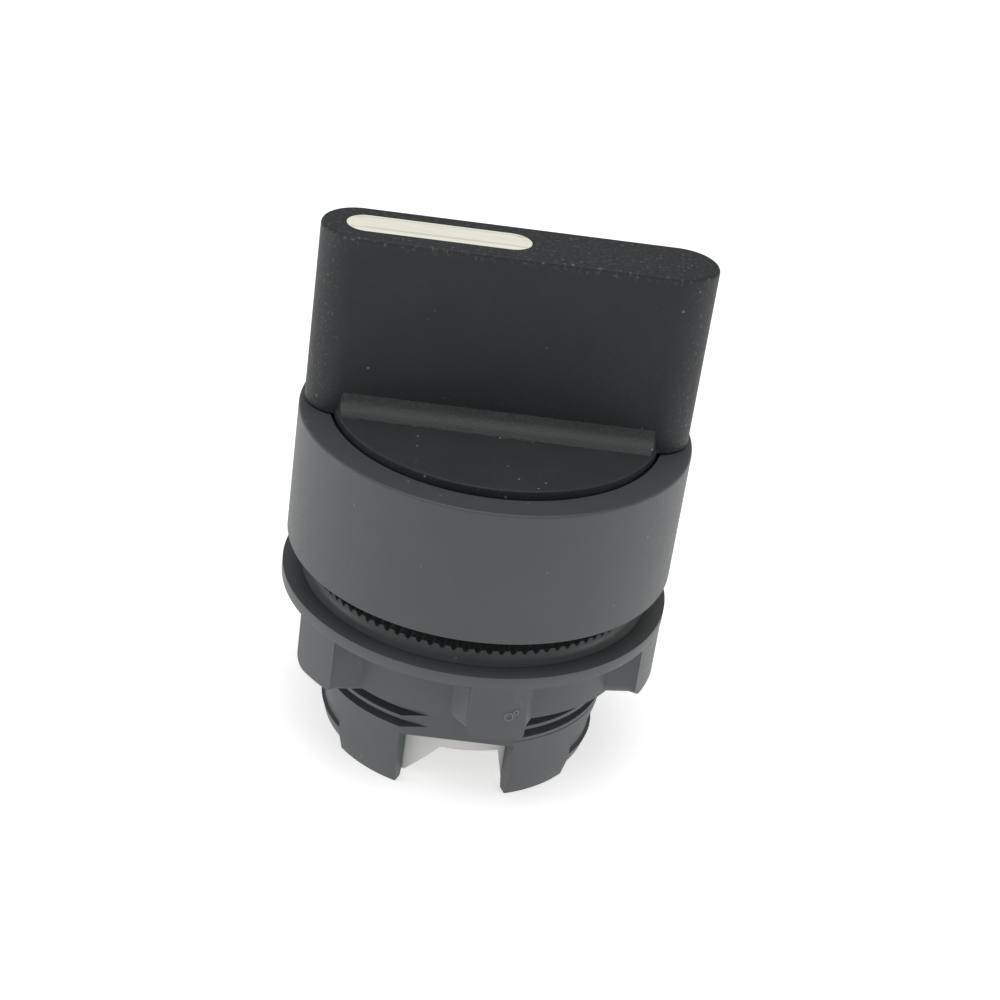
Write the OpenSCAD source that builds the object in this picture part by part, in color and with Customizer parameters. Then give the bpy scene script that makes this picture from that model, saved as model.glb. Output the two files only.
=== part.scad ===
// Head of a 22 mm panel-mounted lever selector switch, in millimetres.
// Z is the barrel axis, Z = 0 is the panel plane under the bezel, the lever lies along X.

/* [Bezel] */
// outer radius of the bezel ring
bezel_r = 14.5; // [13.5:0.1:16]
// height of the bezel above the panel
bezel_h = 10.42; // [8:0.01:12]
// radius of the round opening for the turning disc
bezel_bore_r = 12.25; // [11.5:0.05:13]

/* [Handle] */
// height of the lever's top above the panel
lever_top = 24.3; // [20:0.1:30]
// half of the lever's length
lever_half = 14.15; // [12:0.05:16]
// half of the lever's thickness
lever_t = 2.93; // [2:0.01:4]
// radius of the turning disc
disc_r = 12.05; // [11:0.05:12.1]
// half thickness of the foot where it meets the disc
foot_y = 4.35; // [3:0.05:6]

/* [Index insert] */
// centre of the index line along the lever
index_x = -5.8; // [-8:0.1:0]
// half length of the index line
index_half = 6.56; // [3:0.01:8]
// half width of the index line
index_w = 1.49; // [0.5:0.01:2]

/* [Barrel] */
// radius of the thread's crest and of the plain neck
barrel_r = 11.0; // [10:0.05:12]
// radius of the thread's root
root_r = 10.4; // [9.8:0.05:11]
// distance between thread ridges
pitch = 1.0; // [0.8:0.1:1.5]
// lower end of the thread
thread_end = -11.0; // [-14:0.1:-8]
// distance of the two flats from the axis
flat_y = 10.15; // [9.9:0.05:11]
// lowest point of the legs
leg_end = -16.1; // [-20:0.1:-13]
// height where the legs part from the tube
leg_top = -11.4; // [-13:0.1:-10]
// half angle of the gaps between the legs
leg_gap = 23; // [15:1:40]

/* [Nut] */
// radius of the nut's flange
flange_r = 14.63; // [13:0.01:16]
// radius of the nut's collar
collar_r = 12.65; // [12:0.05:13.5]
// number of gripping lugs
lug_count = 6; // [3:1:8]
// lowest point of the nut's collar
collar_end = -7.7; // [-9:0.1:-6]
// number of teeth on the grip ring
teeth = 92; // [40:4:100]

/* [Drum] */
// outer radius of the white drum
drum_r = 9.45; // [9:0.05:9.5]
// height of the drum's short edge
drum_short = -12.7; // [-14:0.1:-11]
// lowest edge of the drum
drum_long = -15.5; // [-16:0.1:-14]

/* [Detent] */
// radius of the detent balls
ball_r = 1.1; // [0.8:0.05:1.15]
// height of the balls
ball_z = -4.2; // [-5:0.1:-3.5]
// distance of each ball's centre from the axis
ball_x = 6.2; // [6:0.05:6.25]

/* [Hidden] */
$fn = 96;
hub_r = 7.0;
pivot_r = 5.0;
running = 0.05;
main_bore = 9.6;
ring_in = 7.4;
neck_end = -1.65;
bearing_end = -2.0;
flat_top = -0.95;
shank = 2.5;
grip_top = -1.75;
flange_top = -2.74;
flange_low = -3.64;
steel = [0.74, 0.75, 0.76];
grey = [0.33, 0.345, 0.35];
dark = [0.17, 0.18, 0.18];
white = [0.86, 0.86, 0.84];

// a tube between two heights
module tube(outer, inner, low, high) {
    difference() {
        translate([0, 0, low]) cylinder(r = outer, h = high - low);
        translate([0, 0, low - 1]) cylinder(r = inner, h = high - low + 2);
    }
}

// a wedge about the axis, centred on an angle
module sector(angle, half, low, high, reach = 20) {
    rotate([0, 0, angle])
        translate([0, 0, low])
            linear_extrude(height = high - low)
                polygon([[0, 0], [reach * cos(half), -reach * sin(half)], [reach, 0],
                    [reach * cos(half), reach * sin(half)]]);
}

// a flat outline with full round ends, along X
module stadium(half, r, low, high) {
    for (s = [-1, 1])
        translate([s * (half - r), 0, low]) cylinder(r = r, h = high - low);
    translate([r - half, -r, low]) cube([2 * (half - r), 2 * r, high - low]);
}

module bezel() {
    color(grey)
        difference() {
            rotate_extrude()
                polygon([
                    [11.55, 0.92], [13.4, 0.92], [13.4, 0], [bezel_r - 0.15, 0], [bezel_r, 0.15],
                    [bezel_r, bezel_h - 0.2], [bezel_r - 0.06, bezel_h - 0.06],
                    [bezel_r - 0.2, bezel_h], [bezel_bore_r + 0.12, bezel_h],
                    [bezel_bore_r, bezel_h - 0.12], [bezel_bore_r, 1.92], [11.55, 1.92]]);
            // key slot for the barrel's head flange
            translate([11.0, -1.02, 1.92]) cube([1.9, 2.04, 1.5]);
        }
}

// one thread groove as a profile beside the axis, from its upper edge to its lower edge
function groove(z) = [[barrel_r, z + 0.35], [root_r, z + 0.12], [root_r, z - 0.12],
    [barrel_r, z - 0.35]];

module threaded_barrel() {
    last = thread_end + 0.65;
    color(grey)
        difference() {
            union() {
                rotate_extrude()
                    polygon(concat(
                        [[pivot_r + running, bearing_end], [pivot_r + running, 5.0],
                            [9.4, 5.0], [9.4, 7.8], [10.4, 7.8], [10.4, 3.4], [12.2, 3.4],
                            [12.2, 1.94], [11.5, 1.94], [11.5, 0], [barrel_r, 0],
                            [barrel_r, neck_end], [root_r, neck_end - 0.3],
                            [root_r, last + 8 * pitch - 0.12],
                            [barrel_r, last + 8 * pitch - 0.35]],
                        [for (i = [7 : -1 : 0], p = groove(last + i * pitch)) p],
                        [[barrel_r, thread_end + 0.05], [10.9, thread_end - 0.05],
                            [10.9, leg_end + 1.7], [10.45, leg_end],
                            [9.85, leg_end], [main_bore, leg_end + 0.8],
                            [main_bore, bearing_end]]));
                // key for the bezel
                translate([11.0, -1.0, 1.94]) cube([1.75, 2.0, 1.44]);
            }
            // flats on both sides of the thread
            for (s = [-1, 1])
                translate([-8, s > 0 ? flat_y : -flat_y - 4, leg_top - 0.1])
                    cube([16, 4, flat_top - leg_top + 0.1]);
            // gaps between the two legs
            for (a = [-90, 90])
                sector(a, leg_gap, leg_end - 1, leg_top);
            // shallow recess in each leg's outer face, with an arched top and a lip below
            for (a = [0, 180])
                intersection() {
                    rotate_extrude()
                        polygon([[13, -11], [10.4, -11], [10.4, -14.25], [10.65, -14.4],
                            [10.35, -15.4], [9.5, -15.8], [9.5, leg_end - 1],
                            [13, leg_end - 1]]);
                    sector(a, 36, leg_end - 2, -10);
                    translate([0, 0, -11.2 - 14])
                        rotate([0, 90, 0]) cylinder(r = 14, h = 30, center = true);
                }
            // key slots for the index ring
            for (a = [45, 225])
                rotate([0, 0, a])
                    translate([9, -1.02, -6.3]) cube([0.95, 2.04, 4.25]);
        }
}

module panel_gasket() {
    color([0.09, 0.09, 0.09])
        difference() {
            tube(13.35, 11.85, -0.5, 0.9);
            rotate_extrude()
                translate([12.6, -0.5]) circle(r = 0.3, $fn = 32);
        }
}

module index_ring() {
    color([0.8, 0.78, 0.7])
        difference() {
            union() {
                tube(9.58, ring_in, -6.2, -2.02);
                for (a = [45, 225])
                    rotate([0, 0, a])
                        translate([9.2, -1, -6.2]) cube([0.72, 2, 4.16]);
            }
            // detent notches
            for (a = [0, 90, 180, 270])
                rotate([0, 0, a])
                    translate([6.65, 0, -5.45]) cylinder(r = 1.25, h = 4);
            // room for the stop lug, through the turn
            intersection() {
                translate([0, 0, -6.3]) cylinder(r = 8.6, h = 0.8);
                union() {
                    sector(70, 37, -6.4, -5.4);
                    sector(110, 37, -6.4, -5.4);
                }
            }
        }
}

module thrust_washer() {
    color(white) tube(7.1, pivot_r + 0.2, -2.5, -2.02);
}

module lip_seal() {
    color([0.1, 0.1, 0.1])
        rotate_extrude()
            polygon([[9.35, 5.02], [8.0, 5.02], [hub_r + 0.25, 5.6], [hub_r + running, 5.9],
                [hub_r + running, 6.1], [hub_r + 0.3, 6.35], [7.9, 6.2], [7.9, 7.2],
                [9.35, 7.2]]);
}

module seal_washer() {
    color(steel) tube(9.36, 7.5, 7.22, 7.72);
}

module handle() {
    cross = [[-lever_t, 10.6], [lever_t, 10.6], [lever_t, lever_top - 0.3],
        [lever_t - 0.09, lever_top - 0.09], [lever_t - 0.3, lever_top],
        [0.3 - lever_t, lever_top], [0.09 - lever_t, lever_top - 0.09],
        [-lever_t, lever_top - 0.3]];
    mid = lever_half - lever_t;
    color(dark)
        difference() {
            union() {
                translate([-mid, 0, 0])
                    rotate([90, 0, 90])
                        linear_extrude(height = 2 * mid) polygon(cross);
                for (s = [-1, 1])
                    translate([s * mid, 0, 0])
                        rotate_extrude()
                            polygon([[0, 10.6], [lever_t, 10.6], [lever_t, lever_top - 0.3],
                                [lever_t - 0.09, lever_top - 0.09],
                                [lever_t - 0.3, lever_top], [0, lever_top]]);
                // disc with a low rim
                rotate_extrude()
                    polygon([[0, 8.4], [disc_r - 0.3, 8.4], [disc_r, 8.7], [disc_r, 10.95],
                        [disc_r - 0.08, 11.05], [disc_r - 0.3, 11.05], [disc_r - 0.4, 10.97],
                        [0, 10.97]]);
                // chamfered foot on both sides of the lever, inside the disc's rim
                intersection() {
                    translate([-11.0, 0, 0])
                        rotate([90, 0, 90])
                            linear_extrude(height = 22.0)
                                polygon([[-foot_y, 10.5], [foot_y, 10.5], [foot_y, 11.0],
                                    [3.55, 11.42], [3.2, 11.72], [3.02, 12.05],
                                    [lever_t - 0.02, 12.4], [0.02 - lever_t, 12.4],
                                    [-3.02, 12.05], [-3.2, 11.72], [-3.55, 11.42],
                                    [-foot_y, 11.0]]);
                    translate([0, 0, 10]) cylinder(r = 11.45, h = 4);
                }
                // hub in two steps
                translate([0, 0, 5.08]) cylinder(r = hub_r, h = 4);
                translate([0, 0, -2.6]) cylinder(r = pivot_r, h = 9);
            }
            // pocket for the index insert
            translate([index_x, 0, 0])
                stadium(index_half + 0.02, index_w + 0.02, 22.7, lever_top + 1);
            // square socket for the shaft
            translate([-shank - 0.03, -shank - 0.03, -3]) cube([2 * shank + 0.06, 2 * shank + 0.06, 7.6]);
            // hole for the metal insert
            translate([0, 0, 4]) cylinder(r = 2.42, h = 6.2);
        }
}

module index_insert() {
    color([0.94, 0.94, 0.9])
        translate([index_x, 0, 0]) {
            stadium(index_half, index_w, 22.72, 24.3);
            stadium(index_half - 0.4, index_w - 0.4, 24.2, 24.36);
        }
}

module drive_shaft() {
    color([0.16, 0.17, 0.18])
        difference() {
            union() {
                translate([-shank, -shank, -2.7]) cube([2 * shank, 2 * shank, 7.2]);
                translate([0, 0, -6.2]) cylinder(r = 7.2, h = 3.58);
                translate([-shank, -shank, -7.8]) cube([2 * shank, 2 * shank, 2]);
                // stop lug
                intersection() {
                    tube(8.4, 6.5, -6.2, -5.6);
                    sector(135, 10, -7, -5);
                }
            }
            translate([0, 0, -9]) cylinder(r = 1.6, h = 15);
            // radial bores for springs and balls
            for (s = [0, 180])
                rotate([0, 0, s])
                    translate([2.6, 0, ball_z])
                        rotate([0, 90, 0]) cylinder(r = ball_r + 0.08, h = 6);
        }
}

module hub_insert() {
    color([0.75, 0.6, 0.3])
        difference() {
            union() {
                translate([0, 0, 4.62]) cylinder(r = 2.2, h = 5.5);
                translate([0, 0, 5.2]) cylinder(r = 2.4, h = 1.6);
                translate([0, 0, 7.8]) cylinder(r = 2.4, h = 1.6);
            }
            translate([0, 0, 4]) cylinder(r = 1.5, h = 5.6);
        }
}

module cam_drum() {
    color(white)
        difference() {
            union() {
                tube(drum_r, 7.9, drum_long, -6.4);
                translate([0, 0, -7.9]) cylinder(r = 8.4, h = 1.5);
            }
            translate([-shank - 0.03, -shank - 0.03, -9]) cube([2 * shank + 0.06, 2 * shank + 0.06, 4]);
            // ramps that work the contact plungers, on two sides
            for (s = [0, 180])
                rotate([0, 0, s])
                    translate([0, -6, 0])
                        rotate([90, 0, 0])
                            linear_extrude(height = 6)
                                polygon([[-3.72, drum_long - 0.2], [-1.1, drum_short],
                                    [3.23, drum_short], [3.86, drum_long - 0.2]]);
        }
}

module drum_screw() {
    color(steel)
        difference() {
            union() {
                translate([0, 0, -9.0]) cylinder(r = 1.45, h = 18.2);
                translate([0, 0, -10.1]) cylinder(r = 2.8, h = 1.26);
                translate([0, 0, -10.4]) cylinder(r1 = 2.3, r2 = 2.8, h = 0.3);
            }
            for (a = [45, 135])
                rotate([0, 0, a])
                    translate([-1.7, -0.3, -10.6]) cube([3.4, 0.6, 1.0]);
        }
}

module screw_washer() {
    color(steel) tube(4.4, 1.6, -8.8, -7.93);
}

// square-wire compression spring lying along X
module detent_spring(side) {
    color(steel)
        rotate([0, 0, side])
            translate([2.65, 0, ball_z])
                rotate([0, 90, 0])
                    linear_extrude(height = 2.4, twist = -1440, slices = 72, $fn = 13)
                        polygon(concat(
                            [for (a = [-60 : 30 : 60]) [0.98 * cos(a), 0.98 * sin(a)]],
                            [for (a = [60 : -30 : -60]) [0.7 * cos(a), 0.7 * sin(a)]]));
}

module detent_spring_1() {
    detent_spring(0);
}

module detent_spring_2() {
    detent_spring(180);
}

module detent_ball(side) {
    color(steel) translate([side * ball_x, 0, ball_z]) sphere(r = ball_r);
}

module detent_ball_1() {
    detent_ball(1);
}

module detent_ball_2() {
    detent_ball(-1);
}

module grip_ring() {
    color([0.37, 0.385, 0.39])
        difference() {
            translate([0, 0, -2.7]) cylinder(r = 12.6, h = grip_top + 2.7);
            // hole with two flats that follow the barrel's
            intersection() {
                translate([0, 0, -4]) cylinder(r = barrel_r + 0.08, h = 4);
                translate([-12, -flat_y - 0.08, -4]) cube([24, 2 * flat_y + 0.16, 4]);
            }
            // fine radial teeth, each cut stays clear of its neighbours
            for (i = [0 : teeth - 1])
                rotate([0, 0, i * 360 / teeth])
                    translate([10.6, 0, 0])
                        rotate([90, 0, 90])
                            linear_extrude(height = 2.6)
                                polygon([[-0.34, grip_top + 0.1], [-0.05, grip_top - 0.45],
                                    [0.05, grip_top - 0.45], [0.34, grip_top + 0.1]]);
        }
}

module fixing_nut() {
    color([0.36, 0.37, 0.37])
        difference() {
            union() {
                rotate_extrude()
                    polygon([[10, flange_low - 0.5], [10, flange_top], [flange_r - 0.12, flange_top],
                        [flange_r, flange_top - 0.12], [flange_r, flange_low + 0.1],
                        [flange_r - 0.1, flange_low], [collar_r, flange_low],
                        [collar_r, collar_end + 0.15], [collar_r - 0.15, collar_end],
                        [10, collar_end]]);
                for (i = [0 : lug_count - 1])
                    rotate([0, 0, -20.2 + i * 360 / lug_count])
                        lug();
            }
            translate([0, 0, -12]) cylinder(r = barrel_r + 0.08, h = 12);
            translate([0, 0, collar_end - 0.01])
                cylinder(r1 = barrel_r + 0.5, r2 = barrel_r + 0.05, h = 0.45);
        }
}

// one gripping lug, on the X side
module lug() {
    low = -7.9;
    intersection() {
        translate([0, 0, low])
            linear_extrude(height = flange_top - 0.2 - low)
                polygon([[11.8, -3.3], [13.85, -2.2], [14.2, -2.02], [14.42, -1.75],
                    [14.52, -1.45], [15, -1.4], [15, 1.4], [14.52, 1.45], [14.42, 1.75],
                    [14.2, 2.02], [13.85, 2.2], [11.8, 3.3]]);
        translate([0, 0, low]) cylinder(r = flange_r - 0.02, h = 6);
        translate([11, 0, 0])
            rotate([90, 0, 90])
                linear_extrude(height = 5)
                    polygon([[-3.4, -3], [-3.4, low + 1.3], [-2.15, low + 1.1],
                        [-1.9, low + 0.5], [-1.55, low + 0.15], [-1.1, low], [1.7, low],
                        [2.0, low + 0.12], [3.4, low + 0.15], [3.4, -3]]);
    }
}

bezel();
threaded_barrel();
panel_gasket();
index_ring();
thrust_washer();
lip_seal();
seal_washer();
handle();
index_insert();
drive_shaft();
hub_insert();
cam_drum();
drum_screw();
screw_washer();
detent_spring_1();
detent_spring_2();
detent_ball_1();
detent_ball_2();
grip_ring();
fixing_nut();
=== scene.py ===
import math

import bmesh
import bpy
from mathutils import Matrix, Vector


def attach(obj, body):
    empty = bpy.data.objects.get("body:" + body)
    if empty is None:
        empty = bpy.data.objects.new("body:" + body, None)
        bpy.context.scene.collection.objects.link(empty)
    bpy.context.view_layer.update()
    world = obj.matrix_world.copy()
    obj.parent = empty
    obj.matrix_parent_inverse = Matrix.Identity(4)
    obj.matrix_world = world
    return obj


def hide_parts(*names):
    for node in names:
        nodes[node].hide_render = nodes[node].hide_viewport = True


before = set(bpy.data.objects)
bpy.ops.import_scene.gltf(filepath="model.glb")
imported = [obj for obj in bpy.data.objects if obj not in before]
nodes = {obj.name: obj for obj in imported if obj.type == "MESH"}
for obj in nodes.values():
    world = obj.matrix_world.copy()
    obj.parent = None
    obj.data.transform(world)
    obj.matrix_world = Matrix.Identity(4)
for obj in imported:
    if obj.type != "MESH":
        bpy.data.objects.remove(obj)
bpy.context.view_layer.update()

mm = 0.001


# small helpers for modelling

def letGo():
    if bpy.context.object and bpy.context.object.mode != "OBJECT":
        bpy.ops.object.mode_set(mode="OBJECT")
    bpy.ops.object.select_all(action="DESELECT")


def take(piece):
    letGo()
    piece.select_set(True)
    bpy.context.view_layer.objects.active = piece


def settle(piece):
    # the place goes into the mesh, so the object itself sits at the origin
    take(piece)
    bpy.ops.object.transform_apply(location=True, rotation=True, scale=True)


def copyOf(piece, name):
    twin = piece.copy()
    twin.data = piece.data.copy()
    twin.name = name
    bpy.context.scene.collection.objects.link(twin)
    return twin


def editing(piece, kind="VERT"):
    take(piece)
    bpy.ops.object.mode_set(mode="EDIT")
    bpy.ops.mesh.select_mode(type=kind)
    bpy.ops.mesh.select_all(action="DESELECT")


def pickVerts(piece, test):
    bpy.ops.mesh.select_mode(type="VERT")
    bpy.ops.mesh.select_all(action="DESELECT")
    shape = bmesh.from_edit_mesh(piece.data)
    for v in shape.verts:
        v.select_set(bool(test(v.co / mm)))
    shape.select_flush(True)
    bmesh.update_edit_mesh(piece.data)


def pickEdges(piece, test):
    bpy.ops.mesh.select_mode(type="EDGE")
    bpy.ops.mesh.select_all(action="DESELECT")
    shape = bmesh.from_edit_mesh(piece.data)
    for e in shape.edges:
        if test(e.verts[0].co / mm, e.verts[1].co / mm):
            e.select_set(True)
    bmesh.update_edit_mesh(piece.data)


def rim(co):
    return math.hypot(co.x, co.y)


def onRing(radius, height, slack=0.02):
    def test(a, b):
        return all(abs(rim(c) - radius) < slack and abs(c.z - height) < slack for c in (a, b))
    return test


def roundOff(piece, test, size, steps):
    editing(piece, "EDGE")
    pickEdges(piece, test)
    bpy.ops.mesh.bevel(offset=size * mm, segments=steps, affect="EDGES", clamp_overlap=True)
    bpy.ops.object.mode_set(mode="OBJECT")


def cleanUp(piece, merge=0.002):
    editing(piece)
    bpy.ops.mesh.select_all(action="SELECT")
    bpy.ops.mesh.remove_doubles(threshold=merge * mm)
    bpy.ops.mesh.normals_make_consistent(inside=False)
    bpy.ops.object.mode_set(mode="OBJECT")


def applied(piece, modifier):
    take(piece)
    bpy.ops.object.modifier_apply(modifier=modifier.name)


def combine(piece, other, way):
    # a cutter is taken away, a neighbour is merged in
    letGo()
    change = piece.modifiers.new("combine", "BOOLEAN")
    change.operation = way
    change.solver = "EXACT"
    change.object = other
    applied(piece, change)
    bpy.data.objects.remove(other)


def softenEdges(piece, size, angle=35, steps=2):
    bevel = piece.modifiers.new("soften", "BEVEL")
    bevel.width = size * mm
    bevel.segments = steps
    bevel.limit_method = "ANGLE"
    bevel.angle_limit = math.radians(angle)
    bevel.use_clamp_overlap = True
    applied(piece, bevel)


def smoothOver(piece, angle=32):
    take(piece)
    bpy.ops.object.shade_smooth_by_angle(angle=math.radians(angle))
    even = piece.modifiers.new("even", "WEIGHTED_NORMAL")
    even.keep_sharp = True
    even.weight = 60
    applied(piece, even)


def turned(name, outline, sides, solid=False):
    # a ring is drawn at the first point, then extruded and resized along the (radius, height) points;
    # the outline closes on itself, or on a solid it runs from one flat end to the other
    letGo()
    radius, height = outline[0]
    bpy.ops.mesh.primitive_circle_add(vertices=sides, radius=radius * mm, location=(0, 0, height * mm),
                                      fill_type="NGON" if solid else "NOTHING")
    piece = bpy.context.object
    piece.name = name
    settle(piece)
    editing(piece)
    bpy.ops.mesh.select_all(action="SELECT")
    following = outline[1:] if solid else outline[1:] + outline[:1]
    for (r1, z1), (r2, z2) in zip(outline, following):
        bpy.ops.mesh.extrude_region_move(TRANSFORM_OT_translate={"value": (0, 0, (z2 - z1) * mm)})
        bpy.ops.transform.resize(value=(r2 / r1, r2 / r1, 1), center_override=(0, 0, 0))
    bpy.ops.object.mode_set(mode="OBJECT")
    cleanUp(piece)
    return piece


def block(name, low, high):
    letGo()
    size = [b - a for a, b in zip(low, high)]
    middle = [(a + b) / 2 * mm for a, b in zip(low, high)]
    bpy.ops.mesh.primitive_cube_add(size=1, location=middle)
    piece = bpy.context.object
    piece.name = name
    piece.scale = [s * mm for s in size]
    settle(piece)
    return piece


def bar(name, low, high, steps):
    # a block whose upright edges are rounded until its ends are half circles
    piece = block(name, low, high)
    half = min(high[0] - low[0], high[1] - low[1]) / 2
    roundOff(piece, lambda a, b: abs(a.x - b.x) < 0.01 and abs(a.y - b.y) < 0.01, half * 0.9999, steps)
    cleanUp(piece)
    return piece


def wedge(name, middle, half, low, high, reach):
    # a slice about the axis: three corners, then extruded upwards
    letGo()
    bpy.ops.mesh.primitive_circle_add(vertices=3, radius=reach * mm, location=(0, 0, low * mm),
                                      fill_type="NGON")
    piece = bpy.context.object
    piece.name = name
    settle(piece)
    a, b = math.radians(middle - half), math.radians(middle + half)
    far = reach / math.cos(math.radians(half))
    corners = [(0, 0), (far * math.cos(a), far * math.sin(a)), (far * math.cos(b), far * math.sin(b))]
    editing(piece)
    for spot, (x, y) in enumerate(corners):
        bpy.ops.mesh.select_all(action="DESELECT")
        shape = bmesh.from_edit_mesh(piece.data)
        shape.verts.ensure_lookup_table()
        corner = shape.verts[spot]
        corner.select_set(True)
        move = (x * mm - corner.co.x, y * mm - corner.co.y, 0)
        bmesh.update_edit_mesh(piece.data)
        bpy.ops.transform.translate(value=move)
    bpy.ops.mesh.select_all(action="SELECT")
    bpy.ops.mesh.extrude_region_move(TRANSFORM_OT_translate={"value": (0, 0, (high - low) * mm)})
    bpy.ops.object.mode_set(mode="OBJECT")
    cleanUp(piece)
    return piece


def helicalCutter(name, inner, outer, innerHalf, outerHalf, angle, height, pitch, turns, floor):
    # a small upright outline beside the axis is swept round and up, then levelled off at the floor
    letGo()
    turn = math.radians(angle)
    middle = (inner + outer) / 2
    start = (middle * mm * math.cos(turn), middle * mm * math.sin(turn), height * mm)
    bpy.ops.mesh.primitive_plane_add(size=1, location=start, rotation=(math.pi / 2, 0, turn))
    piece = bpy.context.object
    piece.name = name
    piece.scale = ((outer - inner) * mm, 2 * outerHalf * mm, 1)
    settle(piece)
    editing(piece)
    pickVerts(piece, lambda co: rim(co) < middle)
    bpy.ops.transform.resize(value=(1, 1, innerHalf / outerHalf), center_override=(0, 0, height * mm))
    bpy.ops.mesh.select_all(action="SELECT")
    bpy.ops.mesh.delete(type="ONLY_FACE")
    bpy.ops.object.mode_set(mode="OBJECT")
    sweep = piece.modifiers.new("sweep", "SCREW")
    sweep.axis = "Z"
    sweep.angle = 2 * math.pi
    sweep.screw_offset = pitch * mm
    sweep.iterations = turns
    sweep.steps = sweep.render_steps = 90
    sweep.use_merge_vertices = False
    applied(piece, sweep)
    editing(piece)
    bpy.ops.mesh.select_all(action="SELECT")
    bpy.ops.mesh.remove_doubles(threshold=0.0005 * mm)
    bpy.ops.mesh.select_all(action="DESELECT")
    bpy.ops.mesh.select_non_manifold()
    bpy.ops.mesh.fill_holes(sides=0)
    bpy.ops.mesh.select_all(action="SELECT")
    bpy.ops.mesh.normals_make_consistent(inside=False)
    bpy.ops.mesh.bisect(plane_co=(0, 0, floor * mm), plane_no=(0, 0, 1), use_fill=True, clear_inner=True)
    bpy.ops.mesh.select_all(action="SELECT")
    bpy.ops.mesh.normals_make_consistent(inside=False)
    bpy.ops.object.mode_set(mode="OBJECT")
    return piece


def stands(piece, body, slotName, *replaced):
    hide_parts(*replaced)
    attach(piece, body)


# finishes

class Tree:
    # joins shader nodes with short calls
    def __init__(self, name):
        self.material = bpy.data.materials.new(name)
        self.material.use_nodes = True
        self.tree = self.material.node_tree
        self.shader = next(n for n in self.tree.nodes if n.type == "BSDF_PRINCIPLED")
        self.place = self.tree.nodes.new("ShaderNodeTexCoord").outputs["Object"]

    def add(self, kind, **values):
        made = self.tree.nodes.new("ShaderNode" + kind)
        for key, value in values.items():
            if hasattr(made, key):
                setattr(made, key, value)
            else:
                made.inputs[key.replace("_", " ")].default_value = value
        return made

    def link(self, a, b):
        self.tree.links.new(a, b)

    def noise(self, scale, detail=2.0, roughness=0.55):
        made = self.add("TexNoise", Scale=scale, Detail=detail, Roughness=roughness)
        self.link(self.place, made.inputs["Vector"])
        return made.outputs["Fac"]

    def spots(self, scale, spread=1.0):
        made = self.add("TexVoronoi", Scale=scale, Randomness=spread)
        self.link(self.place, made.inputs["Vector"])
        return made.outputs["Distance"]

    def ramp(self, source, low, high, lowOut=0.0, highOut=1.0):
        made = self.add("MapRange")
        made.inputs["From Min"].default_value = low
        made.inputs["From Max"].default_value = high
        made.inputs["To Min"].default_value = lowOut
        made.inputs["To Max"].default_value = highOut
        self.link(source, made.inputs["Value"])
        return made.outputs["Result"]

    def calc(self, operation, a, b):
        made = self.add("Math", operation=operation)
        for socket, value in zip(made.inputs, (a, b)):
            if isinstance(value, (int, float)):
                socket.default_value = value
            else:
                self.link(value, socket)
        return made.outputs[0]

    def blend(self, share, first, second):
        made = self.tree.nodes.new("ShaderNodeMix")
        made.data_type = "RGBA"
        self.link(share, made.inputs["Factor"])
        for socket, value in ((made.inputs["A"], first), (made.inputs["B"], second)):
            if isinstance(value, tuple):
                socket.default_value = (*value, 1)
            else:
                self.link(value, socket)
        return made.outputs["Result"]

    def bump(self, height, strength, distance, under=None):
        made = self.add("Bump", Strength=strength, Distance=distance * mm)
        self.link(height, made.inputs["Height"])
        if under is not None:
            self.link(under, made.inputs["Normal"])
        return made.outputs["Normal"]


def shade(colour, factor):
    return tuple(min(1.0, c * factor) for c in colour)


def rubbedEdgesAndLitEnds(t, look):
    # specks of rubbed wear along the lever's top edge, and painted light towards its round ends: lighter
    # specks where the side lamps brighten them
    split = t.add("SeparateXYZ")
    t.link(t.place, split.inputs[0])
    upper = t.ramp(split.outputs["Z"], (look["wearTop"] - 0.7) * mm, (look["wearTop"] - 0.2) * mm)
    outward = t.calc("ABSOLUTE", split.outputs["X"], 0)
    # painted light: the specks grow lighter towards the round ends, where side light falls
    litEnds = t.ramp(outward, look["litEndStart"] * mm, (look["litEndStart"] + 1.6) * mm, 0, 0.6)
    scratches = t.ramp(t.noise(3000, 5, 0.75), 0.56, 0.66)
    rubbedAndLit = t.calc("MULTIPLY", t.calc("MAXIMUM", upper, litEnds), scratches)
    return t.calc("MULTIPLY", rubbedAndLit, look["wearAndEndLight"])


def mouldedPlastic(name, colour, look):
    # eroded-steel mould texture, slow mottling, a few dust specks
    t = Tree(name)
    mottle = t.ramp(t.noise(look["mottleScale"], 4), 0.35, 0.68)
    base = t.blend(mottle, shade(colour, 1 - look["mottle"]), shade(colour, 1 + look["mottle"]))
    fine = t.noise(look["grainScale"], 3, 0.6)
    grain = t.ramp(fine, 0.45, 0.75, 0, look["grainColour"])
    base = t.blend(grain, base, shade(colour, look["grainTint"]))
    sparse = t.ramp(t.noise(310, 2), 0.56, 0.60)
    dot = t.ramp(t.spots(look["speckScale"]), look["speckSize"], look["speckSize"] * 0.45)
    specks = t.calc("MULTIPLY", t.calc("MULTIPLY", dot, sparse), look["speckShare"])
    base = t.blend(specks, base, look["dust"])
    if "wearAndEndLight" in look:
        # rubbed wear on the top edge, with painted side light towards the lever's round ends
        base = t.blend(rubbedEdgesAndLitEnds(t, look), base, look["wearAndEndLightColour"])
    t.link(base, t.shader.inputs["Base Color"])
    rough = t.ramp(fine, 0.3, 0.7, look["rough"] - 0.06, look["rough"] + 0.06)
    t.link(rough, t.shader.inputs["Roughness"])
    t.shader.inputs["Specular IOR Level"].default_value = look["gloss"]
    low = t.bump(t.noise(look["waveScale"], 2), look["wave"], 0.05)
    t.link(t.bump(fine, look["grain"], 0.03, low), t.shader.inputs["Normal"])
    return t.material


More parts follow.
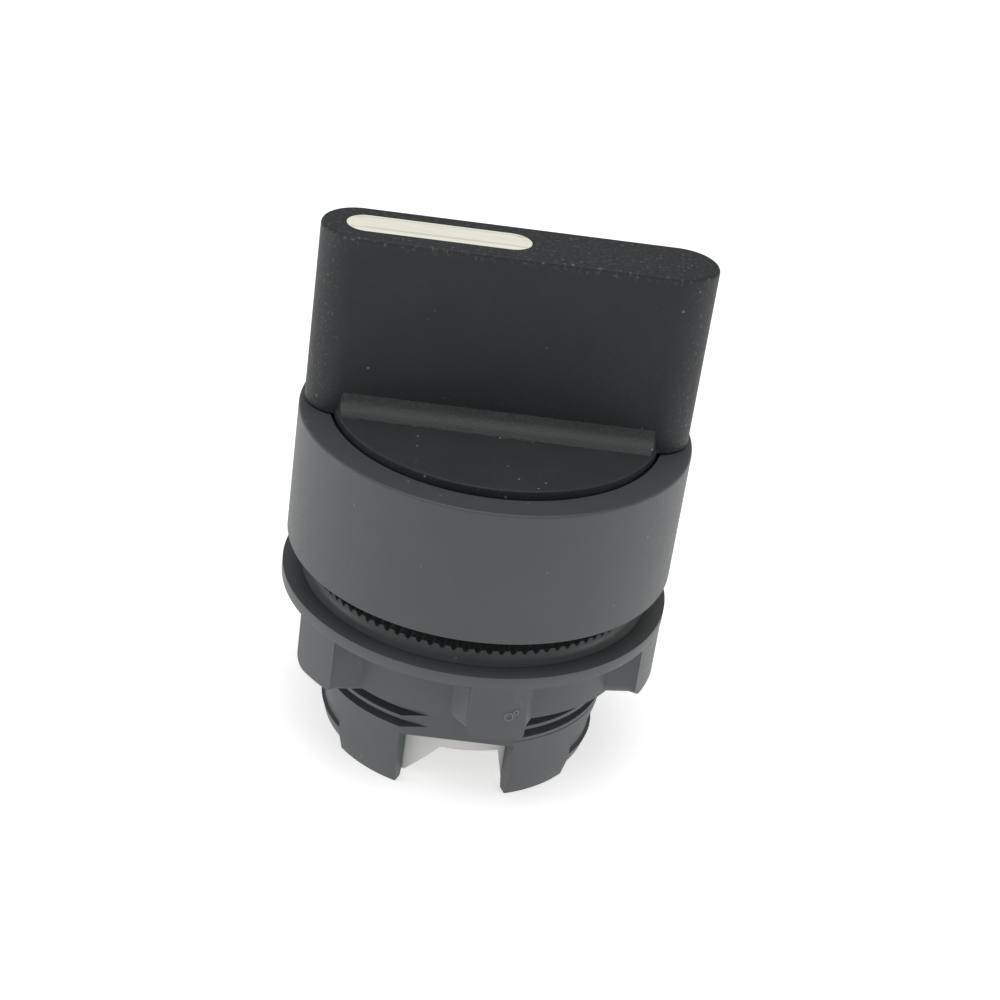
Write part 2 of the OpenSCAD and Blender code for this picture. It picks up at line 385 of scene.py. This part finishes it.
plasticLook = {
    "mottleScale": 260, "mottle": 0.035,
    "grainScale": 5200, "grain": 0.35, "grainColour": 0.05, "grainTint": 1.9,
    "speckScale": 950, "speckSize": 0.12, "speckShare": 0.22, "dust": (0.42, 0.43, 0.42),
    "rough": 0.5, "gloss": 0.5, "waveScale": 420, "wave": 0.08,
}
blackLook = {**plasticLook, "grain": 0.55, "grainScale": 4300, "grainColour": 0.06, "mottle": 0.09}
paleLook = {**plasticLook, "grainColour": 0.0}

bezelGrey = mouldedPlastic("bezelGrey", (0.053, 0.061, 0.0625), plasticLook)
barrelGrey = mouldedPlastic("barrelGrey", (0.075, 0.084, 0.086), {**plasticLook, "mottle": 0.05})
nutGrey = mouldedPlastic("nutGrey", (0.064, 0.0725, 0.0735), {
    **plasticLook, "mottle": 0.045, "rough": 0.48})
# the lever's lighter wear colour also serves as painted light on its round ends
handleBlack = mouldedPlastic("handleBlack", (0.0155, 0.0195, 0.0205), {
    **blackLook, "rough": 0.55, "speckShare": 0.3, "gloss": 0.33,
    "wearAndEndLight": 0.95, "wearTop": 24.3, "litEndStart": 11.6, "wearAndEndLightColour": (0.1, 0.105, 0.103)})
footGrain = mouldedPlastic("footGrain", (0.0165, 0.0195, 0.02), {
    **plasticLook, "grain": 1.0, "grainScale": 3500, "grainColour": 0.6, "grainTint": 2.6,
    "speckShare": 0.9, "speckScale": 1300, "mottle": 0.2})
discBlack = mouldedPlastic("discBlack", (0.028, 0.033, 0.0345), {
    **blackLook, "rough": 0.6, "speckShare": 0.4, "gloss": 0.3})
scarGrey = mouldedPlastic("scarGrey", (0.115, 0.124, 0.123), {**plasticLook, "rough": 0.38})
drumWhite = mouldedPlastic("drumWhite", (0.62, 0.62, 0.59), {
    **paleLook, "grain": 0.15, "rough": 0.4, "dust": (0.4, 0.4, 0.38), "speckShare": 0.15})
innerBeige = mouldedPlastic("innerBeige", (0.5, 0.48, 0.42), {
    **paleLook, "grain": 0.2, "rough": 0.45, "dust": (0.3, 0.3, 0.28), "speckShare": 0.1})
sealBlack = mouldedPlastic("sealBlack", (0.012, 0.012, 0.012), {
    **plasticLook, "rough": 0.7, "grain": 0.5, "gloss": 0.3})


def indexCream(look):
    # a warm white insert with faint lengthwise draw lines, and a thin darker line painted along its raised
    # band's edges
    t = Tree("indexCream")
    split = t.add("SeparateXYZ")
    t.link(t.place, split.inputs[0])
    stretch = t.add("Mapping")
    stretch.inputs["Scale"].default_value = (0.12, 1, 1)
    t.link(t.place, stretch.inputs["Vector"])
    streak = t.add("TexNoise", Scale=look["streakScale"], Detail=3.0)
    t.link(stretch.outputs[0], streak.inputs["Vector"])
    side = t.calc("ABSOLUTE", split.outputs["Y"], 0)
    # a thin darker line along the raised band's edges
    away = t.calc("ABSOLUTE", t.calc("SUBTRACT", side, look["bandEdge"] * mm), 0)
    edge = t.ramp(away, 0, 0.16 * mm, 1, 0)
    base = t.blend(t.ramp(streak.outputs["Fac"], 0.35, 0.7), look["colour"], look["shadow"])
    base = t.blend(t.calc("MULTIPLY", edge, look["bandEdgeDarkening"]), base, look["bandEdgeDarkColour"])
    t.link(base, t.shader.inputs["Base Color"])
    t.shader.inputs["Roughness"].default_value = 0.42
    t.link(t.bump(streak.outputs["Fac"], 0.25, 0.03), t.shader.inputs["Normal"])
    return t.material


creamPaint = indexCream({
    "colour": (0.93, 0.91, 0.79), "shadow": (0.85, 0.83, 0.7), "streakScale": 3200,
    "bandEdge": 0.95, "bandEdgeDarkening": 0.5, "bandEdgeDarkColour": (0.45, 0.44, 0.36)})


def brushedMetal(name, colour, rough):
    t = Tree(name)
    scratch = t.noise(3800, 4, 0.7)
    tone = t.blend(t.ramp(scratch, 0.3, 0.7), shade(colour, 0.85), shade(colour, 1.1))
    t.link(tone, t.shader.inputs["Base Color"])
    t.shader.inputs["Metallic"].default_value = 1.0
    t.link(t.ramp(scratch, 0.3, 0.7, rough - 0.06, rough + 0.1), t.shader.inputs["Roughness"])
    t.link(t.bump(scratch, 0.15, 0.02), t.shader.inputs["Normal"])
    return t.material


screwSteel = brushedMetal("screwSteel", (0.55, 0.56, 0.57), 0.3)
insertBrass = brushedMetal("insertBrass", (0.62, 0.45, 0.2), 0.32)

cadFinishes = {
    "index_ring": innerBeige, "thrust_washer": drumWhite, "lip_seal": sealBlack, "seal_washer": screwSteel,
    "drive_shaft": innerBeige, "hub_insert": insertBrass, "screw_washer": screwSteel,
    "detent_spring_1": screwSteel, "detent_spring_2": screwSteel,
    "detent_ball_1": screwSteel, "detent_ball_2": screwSteel,
}
for name, finish in cadFinishes.items():
    nodes[name].data.materials.clear()
    nodes[name].data.materials.append(finish)
print("finishes ready")


# bezel

bezelSize = {
    "outer": 14.5, "top": 10.42, "opening": 12.25, "topRound": 0.2, "openingRound": 0.1, "lowRound": 0.16,
    "sides": 180,
}


def makeBezel(s):
    piece = turned("bezelRing", [
        (11.55, 0.92), (13.4, 0.92), (13.4, 0), (s["outer"], 0), (s["outer"], s["top"]),
        (s["opening"], s["top"]), (s["opening"], 1.92), (11.55, 1.92)], s["sides"])
    roundOff(piece, onRing(s["outer"], s["top"]), s["topRound"], 3)
    roundOff(piece, onRing(s["opening"], s["top"]), s["openingRound"], 2)
    roundOff(piece, onRing(s["outer"], 0), s["lowRound"], 2)
    piece.data.materials.append(bezelGrey)
    smoothOver(piece)
    stands(piece, "housing", "bezel_plastic", "bezel")


makeBezel(bezelSize)

gasketSize = {"outer": 13.35, "inner": 11.85, "low": -0.5, "high": 0.9, "lip": 0.22}


def makeGasket(s):
    low = s["low"]
    piece = turned("panelSeal", [
        (s["inner"], low), (12.3, low), (12.45, low + s["lip"]), (12.75, low + s["lip"]), (12.9, low),
        (s["outer"], low), (s["outer"], s["high"]), (s["inner"], s["high"])], 144)
    roundOff(piece, onRing(s["outer"], s["low"]), 0.15, 3)
    piece.data.materials.append(sealBlack)
    smoothOver(piece)
    stands(piece, "housing", "seal_rubber", "panel_gasket")


makeGasket(gasketSize)
print("bezel and seal done")


# barrel

barrelSize = {
    "crest": 11.0, "root": 10.4, "flat": 10.15, "flatTop": -0.95, "threadEnd": -11.0, "bore": 9.6,
    "pitch": 1.0, "turns": 9, "grooveHalf": 0.35, "rootHalf": 0.12, "grooveAngle": -90,
    "grooveHeight": -10.36,
    "legTop": -11.4, "legEnd": -16.1, "legGap": 23, "legRound": 0.28, "footRound": 0.5,
    "recessHalf": 36, "archRadius": 14, "archTop": -11.2, "sides": 180,
}


def makeBarrel(s):
    end = s["legEnd"]
    piece = turned("barrelBody", [
        (5.05, -2.0), (5.05, 5.0), (9.4, 5.0), (9.4, 7.8), (10.4, 7.8), (10.4, 3.4), (12.2, 3.4),
        (12.2, 1.94), (11.5, 1.94), (11.5, 0), (s["crest"], 0), (s["crest"], -1.65), (s["root"], -1.95),
        (s["root"], -2.3), (s["crest"], -2.6), (s["crest"], s["threadEnd"] + 0.04),
        (10.9, s["threadEnd"] - 0.06),
        (10.9, end + 1.7), (10.45, end), (9.85, end), (s["bore"], end + 0.8), (s["bore"], -2.0)], s["sides"])
    # the groove's slanted walls are carried on a little past the crest
    past = 0.3
    slope = (s["grooveHalf"] - s["rootHalf"]) / (s["crest"] - s["root"])
    groove = helicalCutter("groove", s["root"], s["crest"] + past, s["rootHalf"],
                           s["grooveHalf"] + past * slope, s["grooveAngle"], s["grooveHeight"] - s["pitch"],
                           s["pitch"], s["turns"], s["threadEnd"])
    combine(piece, groove, "DIFFERENCE")
    for side in (-1, 1):
        y = sorted((side * s["flat"], side * 14))
        cutter = block("flatCut", (-8, y[0], s["legTop"] - 0.1), (8, y[1], s["flatTop"]))
        combine(piece, cutter, "DIFFERENCE")
    for middle in (-90, 90):
        combine(piece, wedge("gapCut", middle, s["legGap"], end - 1, s["legTop"], 16), "DIFFERENCE")
    for middle in (0, 180):
        combine(piece, recessCutter(s, middle), "DIFFERENCE")
    cleanUp(piece, 0.004)

    def besideGap(co):
        turn = abs(abs(math.degrees(math.atan2(co.y, co.x))) - 90)
        return abs(turn - s["legGap"]) <= 0.5 and co.z <= s["legTop"] + 0.01

    def gapEdge(a, b):
        # the upright edges where the legs' outer faces meet the gaps
        return besideGap(a) and besideGap(b) and min(rim(a), rim(b)) >= 10.3 and abs(a.z - b.z) > 0.2

    def legCorner(a, b):
        # the feet's corners, seen from the front
        return besideGap(a) and besideGap(b) and max(a.z, b.z) <= end + 0.05 and abs(rim(a) - rim(b)) > 0.2

    roundOff(piece, legCorner, s["footRound"], 4)
    roundOff(piece, gapEdge, s["legRound"], 3)
    piece.data.materials.append(barrelGrey)
    softenEdges(piece, 0.06, 30, 2)
    smoothOver(piece, 34)
    stands(piece, "housing", "barrel_plastic", "threaded_barrel")


def recessCutter(s, middle):
    # a ring of the recess's depth and lip, limited to a sector and to an arched top
    end = s["legEnd"]
    cutter = turned("recessCut", [
        (13, -11), (10.4, -11), (10.4, -14.25), (10.65, -14.4), (10.35, -15.4), (9.5, -15.8), (9.5, end - 1),
        (13, end - 1)], 120)
    combine(cutter, wedge("recessKeep", middle, s["recessHalf"], end - 2, -10, 20), "INTERSECT")
    letGo()
    bpy.ops.mesh.primitive_cylinder_add(vertices=120, radius=s["archRadius"] * mm, depth=40 * mm,
                                        location=(0, 0, (s["archTop"] - s["archRadius"]) * mm),
                                        rotation=(0, math.pi / 2, 0))
    arch = bpy.context.object
    settle(arch)
    combine(cutter, arch, "INTERSECT")
    return cutter


makeBarrel(barrelSize)
print("barrel done")


# ring nut

nutSize = {
    "flange": 14.63, "top": -2.74, "flangeLow": -3.64, "collar": 12.65, "low": -7.7, "bore": 11.08,
    "sides": 180, "lugs": 6, "firstLug": -20.2, "lugLow": -7.95, "lugRoot": 11.8, "rootHalf": 3.3,
    "lugShoulder": 13.85, "lugHalf": 2.15, "lugReach": 14.61, "lugRound": 0.62, "leftFoot": 1.05,
    "rightFoot": 0.3,
    "gateAngle": -76, "gateHeight": -5.75,
}


def makeLug(s):
    # a block with splayed flanks, its left foot rounded more than its right
    low, half = s["lugLow"], s["lugHalf"]
    piece = block("lug", (s["lugRoot"], -half, low), (16, half, s["flangeLow"] + 0.3))
    editing(piece)
    bpy.ops.mesh.select_all(action="SELECT")
    bpy.ops.mesh.bisect(plane_co=(s["lugShoulder"] * mm, 0, 0), plane_no=(1, 0, 0))
    pickVerts(piece, lambda co: co.x < s["lugRoot"] + 0.2)
    bpy.ops.transform.resize(value=(1, s["rootHalf"] / half, 1), center_override=(0, 0, 0))
    bpy.ops.object.mode_set(mode="OBJECT")

    def footEdge(side):
        def test(a, b):
            return max(a.z, b.z) < low + 0.01 and min(side * a.y, side * b.y) > 1 and max(a.x, b.x) > 13
        return test

    roundOff(piece, footEdge(-1), s["leftFoot"], 6)
    roundOff(piece, footEdge(1), s["rightFoot"], 3)
    reach = s["lugReach"]
    trim = turned("lugTrim", [(reach, -12), (22, -12), (22, 0), (reach, 0)], s["sides"])
    combine(piece, trim, "DIFFERENCE")
    cleanUp(piece, 0.003)
    roundOff(piece, lambda a, b: min(rim(a), rim(b)) > 14.55 and min(abs(a.y), abs(b.y)) > 1.9
             and abs(a.z - b.z) > 0.05, s["lugRound"], 4)
    return piece


def makeGate(s):
    # the moulding gate's ring, dot and short scar on the lug that faces forward
    def onLug(turn, rise, reach):
        angle = math.radians(s["gateAngle"] + turn)
        height = (s["gateHeight"] + rise) * mm
        return angle, (reach * mm * math.cos(angle), reach * mm * math.sin(angle), height)

    marks = []
    letGo()
    for turn, rise, size in ((-1.0, -0.25, 0.3), (0.9, 0.12, 0.15)):
        angle, place = onLug(turn, rise, 14.6)
        bpy.ops.mesh.primitive_torus_add(
            major_radius=size * mm, minor_radius=0.085 * mm, major_segments=20, minor_segments=8,
            location=place, rotation=(0, math.pi / 2, angle))
        settle(bpy.context.object)
        marks.append(bpy.context.object)
    angle, place = onLug(2.1, 0.85, 14.56)
    bpy.ops.mesh.primitive_uv_sphere_add(segments=12, ring_count=8, radius=0.5 * mm, location=place)
    scar = bpy.context.object
    scar.scale = (0.13, 0.11, 1)
    scar.rotation_euler = (math.radians(14), 0, angle)
    settle(scar)
    marks.append(scar)
    for mark in marks:
        mark.data.materials.append(nutGrey)
        mark.data.materials.append(scarGrey)
        for face in mark.data.polygons:
            face.material_index = 1
    return marks


def makeNut(s):
    piece = turned("ringNut", [
        (s["bore"], s["top"]), (s["flange"], s["top"]), (s["flange"], s["flangeLow"]),
        (s["collar"], s["flangeLow"]),
        (s["collar"], s["low"]), (s["bore"] + 0.4, s["low"]), (s["bore"], s["low"] + 0.4)], s["sides"])
    pattern = makeLug(s)
    for spot in range(s["lugs"]):
        lug = copyOf(pattern, "lugCopy")
        lug.rotation_euler = (0, 0, math.radians(s["firstLug"] + spot * 360 / s["lugs"]))
        settle(lug)
        combine(piece, lug, "UNION")
    bpy.data.objects.remove(pattern)
    thread = helicalCutter("nutThread", 10.9, 11.6, 0.4, 0.12, -90, s["low"] - 1.3, 1.0, 7, s["low"] - 1)
    combine(piece, thread, "DIFFERENCE")
    cleanUp(piece, 0.003)
    piece.data.materials.append(nutGrey)
    piece.data.materials.append(scarGrey)
    softenEdges(piece, 0.1, 32, 2)
    for mark in makeGate(s):
        combine(piece, mark, "UNION")
    smoothOver(piece, 34)
    stands(piece, "nut", "nut_plastic", "fixing_nut")


makeNut(nutSize)
print("ring nut done")

gripSize = {
    "outer": 12.6, "rim": 11.95, "inner": 11.1, "low": -2.7, "top": -1.75, "teeth": 92,
    "notch": (0, 0, 0, 0.2, 0.3, 0.3, 0.2, 0),
}


def makeGripRing(s):
    # a tooth is eight uprights wide, and the outer rim's uprights are pushed down by the notch's depths
    share = len(s["notch"])
    sides = s["teeth"] * share
    piece = turned("toothedRing", [
        (s["inner"], s["low"]), (s["outer"] + 0.6, s["low"]), (s["outer"] + 0.2, s["low"] + 0.18),
        (s["outer"], s["low"] + 0.45), (s["outer"], s["top"]),
        (s["rim"], s["top"]), (s["inner"], s["top"])], sides)
    step = 2 * math.pi / sides
    editing(piece)
    for depth in sorted(set(s["notch"]) - {0}):
        def inNotch(co):
            spot = round(math.atan2(co.y, co.x) / step) % share
            return co.z > s["top"] - 0.02 and rim(co) > s["rim"] + 0.1 and s["notch"][spot] == depth
        pickVerts(piece, inNotch)
        bpy.ops.transform.translate(value=(0, 0, -depth * mm))
    bpy.ops.object.mode_set(mode="OBJECT")
    cleanUp(piece, 0.001)
    piece.data.materials.append(nutGrey)
    smoothOver(piece, 40)
    stands(piece, "toothed_ring", "nut_plastic", "grip_ring")


makeGripRing(gripSize)
print("toothed ring done")


# lever handle

handleSize = {
    "disc": 12.05, "discTop": 11.0, "discLow": 8.4, "discRound": 0.14, "sides": 180,
    "half": 14.15, "thick": 2.93, "top": 24.3, "low": 10.6, "edge": 0.3,
    "footX": 11.7, "foot": ((4.35, 11.0), (3.75, 11.3), (3.4, 11.57), (3.14, 11.92), (2.96, 12.4)),
    "indexX": -5.8, "indexHalf": 6.56, "indexY": 1.49, "indexGap": 0.05,
}


def makeHandle(s):
    disc = turned("leverHandle", [
        (5.0, -2.6), (5.0, 5.08), (7.0, 5.08), (7.0, s["discLow"]), (s["disc"], s["discLow"]),
        (s["disc"], s["discTop"])], s["sides"], solid=True)
    disc.data.materials.append(handleBlack)
    disc.data.materials.append(footGrain)
    roundOff(disc, onRing(s["disc"], s["discTop"]), s["discRound"], 3)
    disc.data.materials.append(discBlack)
    for face in disc.data.polygons:
        if face.center.z > (s["discTop"] - 0.01) * mm:
            face.material_index = 2
    wide = s["foot"][0][0]
    foot = block("foot", (-s["footX"], -wide, s["discTop"] - 0.4), (s["footX"], wide, s["discTop"]))
    foot.data.materials.append(handleBlack)
    foot.data.materials.append(footGrain)
    editing(foot)
    pickVerts(foot, lambda co: co.z > s["discTop"] - 0.01)
    bpy.ops.mesh.select_mode(type="FACE")
    # the foot sweeps up to the lever in a hollow curve
    for (y1, z1), (y2, z2) in zip(s["foot"], s["foot"][1:]):
        bpy.ops.mesh.extrude_region_move(TRANSFORM_OT_translate={"value": (0, 0, (z2 - z1) * mm)})
        bpy.ops.transform.resize(value=(1, y2 / y1, 1), center_override=(0, 0, 0))
    shape = bmesh.from_edit_mesh(foot.data)
    for face in shape.faces:
        face.material_index = 1 if face.calc_center_median().z > s["discTop"] * mm else 0
    bmesh.update_edit_mesh(foot.data)
    bpy.ops.object.mode_set(mode="OBJECT")
    trim = turned("footTrim", [(11.95, 9), (18, 9), (18, 14), (11.35, 14), (11.92, 11.05)], s["sides"])
    combine(foot, trim, "DIFFERENCE")
    combine(disc, foot, "UNION")
    lever = bar("leverBar", (-s["half"], -s["thick"], s["low"]), (s["half"], s["thick"], s["top"]), 26)
    lever.data.materials.append(handleBlack)
    roundOff(lever, lambda a, b: min(a.z, b.z) > s["top"] - 0.01, s["edge"], 4)
    long, broad = s["indexHalf"] + s["indexGap"], s["indexY"] + s["indexGap"]
    pocket = bar("pocket", (s["indexX"] - long, -broad, s["top"] - 0.5),
                 (s["indexX"] + long, broad, s["top"] + 1), 16)
    combine(lever, pocket, "DIFFERENCE")
    combine(disc, lever, "UNION")
    cleanUp(disc, 0.003)
    smoothOver(disc, 30)
    stands(disc, "lever", "handle_plastic", "handle")


makeHandle(handleSize)


def makeIndex(s):
    # a bar with a slightly raised middle band
    piece = bar("indexLine", (s["indexX"] - s["indexHalf"], -s["indexY"], s["top"] - 0.48),
                (s["indexX"] + s["indexHalf"], s["indexY"], s["top"] - 0.02), 16)
    editing(piece, "FACE")
    pickVerts(piece, lambda co: co.z > s["top"] - 0.1)
    bpy.ops.mesh.select_mode(type="FACE")
    for inward, rise in ((0.16, 0.05), (0.3, 0), (0.1, 0.05), (0.35, 0.02)):
        bpy.ops.mesh.inset(thickness=inward * mm, depth=rise * mm)
    bpy.ops.object.mode_set(mode="OBJECT")
    cleanUp(piece, 0.002)
    piece.data.materials.append(creamPaint)
    smoothOver(piece, 60)
    stands(piece, "lever", "index_white", "index_insert")


makeIndex(handleSize)
print("handle done")


# white drum and its screw

drumSize = {
    "outer": 9.45, "inner": 7.9, "screwHole": 2.4, "top": -6.4, "web": -7.9, "short": -12.7, "long": -15.5,
    "rampLeft": -3.72, "leftSlope": 2.62, "rampRight": 3.86, "rightSlope": -0.63,
}


def makeDrum(s):
    piece = turned("rampDrum", [
        (s["screwHole"], s["web"]), (s["inner"], s["web"]), (s["inner"], s["long"]), (s["outer"], s["long"]),
        (s["outer"], s["top"]), (s["screwHole"], s["top"])], 144)
    for turn in (0, 180):
        cutter = block("rampCut", (s["rampLeft"], -12, s["long"] - 0.2), (s["rampRight"], -6, s["short"]))
        editing(cutter)
        pickVerts(cutter, lambda co: co.z > s["short"] - 0.01 and co.x < 0)
        bpy.ops.transform.translate(value=(s["leftSlope"] * mm, 0, 0))
        pickVerts(cutter, lambda co: co.z > s["short"] - 0.01 and co.x > 0)
        bpy.ops.transform.translate(value=(s["rightSlope"] * mm, 0, 0))
        bpy.ops.object.mode_set(mode="OBJECT")
        cutter.rotation_euler = (0, 0, math.radians(turn))
        settle(cutter)
        combine(piece, cutter, "DIFFERENCE")
    cleanUp(piece, 0.003)
    piece.data.materials.append(drumWhite)
    softenEdges(piece, 0.08, 35, 2)
    smoothOver(piece, 34)
    stands(piece, "lever", "drum_white", "cam_drum")


makeDrum(drumSize)

screwSize = {
    "shank": 1.45, "top": 9.2, "head": 2.8, "headTop": -8.84, "headLow": -10.4,
    "slot": 0.6, "slotHalf": 1.7, "slotDepth": 0.9,
}


def makeScrew(s):
    piece = turned("drumScrew", [
        (0.9, s["top"]), (s["shank"], s["top"] - 0.8), (s["shank"], s["headTop"]), (s["head"], s["headTop"]),
        (s["head"], -9.7), (2.6, -10.1), (2.1, -10.3), (1.2, s["headLow"])], 64, solid=True)
    for turn in (45, 135):
        cross = block("cross", (-s["slotHalf"], -s["slot"] / 2, s["headLow"] - 1),
                      (s["slotHalf"], s["slot"] / 2, s["headLow"] + s["slotDepth"]))
        editing(cross)
        pickVerts(cross, lambda co: co.z > s["headLow"])
        bpy.ops.transform.resize(value=(0.55, 0.7, 1), center_override=(0, 0, 0))
        bpy.ops.object.mode_set(mode="OBJECT")
        cross.rotation_euler = (0, 0, math.radians(turn))
        settle(cross)
        combine(piece, cross, "DIFFERENCE")
    cleanUp(piece, 0.002)
    piece.data.materials.append(screwSteel)
    softenEdges(piece, 0.04, 35, 2)
    smoothOver(piece, 40)
    stands(piece, "lever", "steel", "drum_screw")


makeScrew(screwSize)
print("drum and screw done")


# floor, light and camera

studio = {
    "floor": -16.1, "floorColour": (0.92, 0.92, 0.92), "glow": 0.5,
    "world": 0.4, "top": 1.05, "left": 0.27, "right": 0.216,
}


def makeStudio(s):
    letGo()
    bpy.ops.mesh.primitive_plane_add(size=6, location=(0, 0, s["floor"] * mm))
    ground = bpy.context.object
    ground.name = "studioFloor"
    settle(ground)
    t = Tree("floorPaper")
    paper = t.blend(t.noise(30, 2), s["floorColour"], shade(s["floorColour"], 0.985))
    t.link(paper, t.shader.inputs["Base Color"])
    t.shader.inputs["Roughness"].default_value = 0.9
    # the paper lies on a light table, so it glows a little
    t.shader.inputs["Emission Color"].default_value = (1, 1, 1, 1)
    t.shader.inputs["Emission Strength"].default_value = s["glow"]
    ground.data.materials.append(t.material)
    world = bpy.data.worlds.new("paleStudio")
    world.use_nodes = True
    world.node_tree.nodes["Background"].inputs["Color"].default_value = (1, 1, 1, 1)
    world.node_tree.nodes["Background"].inputs["Strength"].default_value = s["world"]
    bpy.context.scene.world = world

    def lamp(name, place, size, power):
        bpy.ops.object.light_add(type="AREA", location=[c * mm for c in place])
        made = bpy.context.object
        made.name = name
        made.data.shape = "RECTANGLE"
        made.data.size, made.data.size_y = size[0] * mm, size[1] * mm
        made.data.energy = power
        made.rotation_euler = (-Vector(place)).to_track_quat("-Z", "Y").to_euler()

    lamp("topSoftbox", (-20, -90, 410), (420, 420), s["top"])
    lamp("leftStrip", (-330, -20, 45), (120, 170), s["left"])
    lamp("rightStrip", (330, -20, 45), (120, 170), s["right"])
    # plain view transform, so that pale paper stays white
    bpy.context.scene.view_settings.view_transform = "Standard"


makeStudio(studio)

cameraSetting = {"place": (-6.28, -145.76, 82.88), "roll": 8.165, "lens": 79.92, "shift": (0.0209, 0.0403)}


def makeCamera(s):
    bpy.ops.object.camera_add(location=[c * mm for c in s["place"]])
    camera = bpy.context.object
    camera.name = "studioCamera"
    back = Vector(s["place"]).normalized()
    right = Vector((0, 0, 1)).cross(back).normalized()
    up = back.cross(right)
    turn = math.radians(s["roll"])
    across = math.cos(turn) * right + math.sin(turn) * up
    up = math.cos(turn) * up - math.sin(turn) * right
    camera.rotation_euler = Matrix((across, up, back)).transposed().to_euler()
    camera.data.lens = s["lens"]
    camera.data.sensor_width = 36
    camera.data.shift_x, camera.data.shift_y = s["shift"]
    camera.data.clip_start = 0.01
    bpy.context.scene.camera = camera


makeCamera(cameraSetting)
print("studio ready")
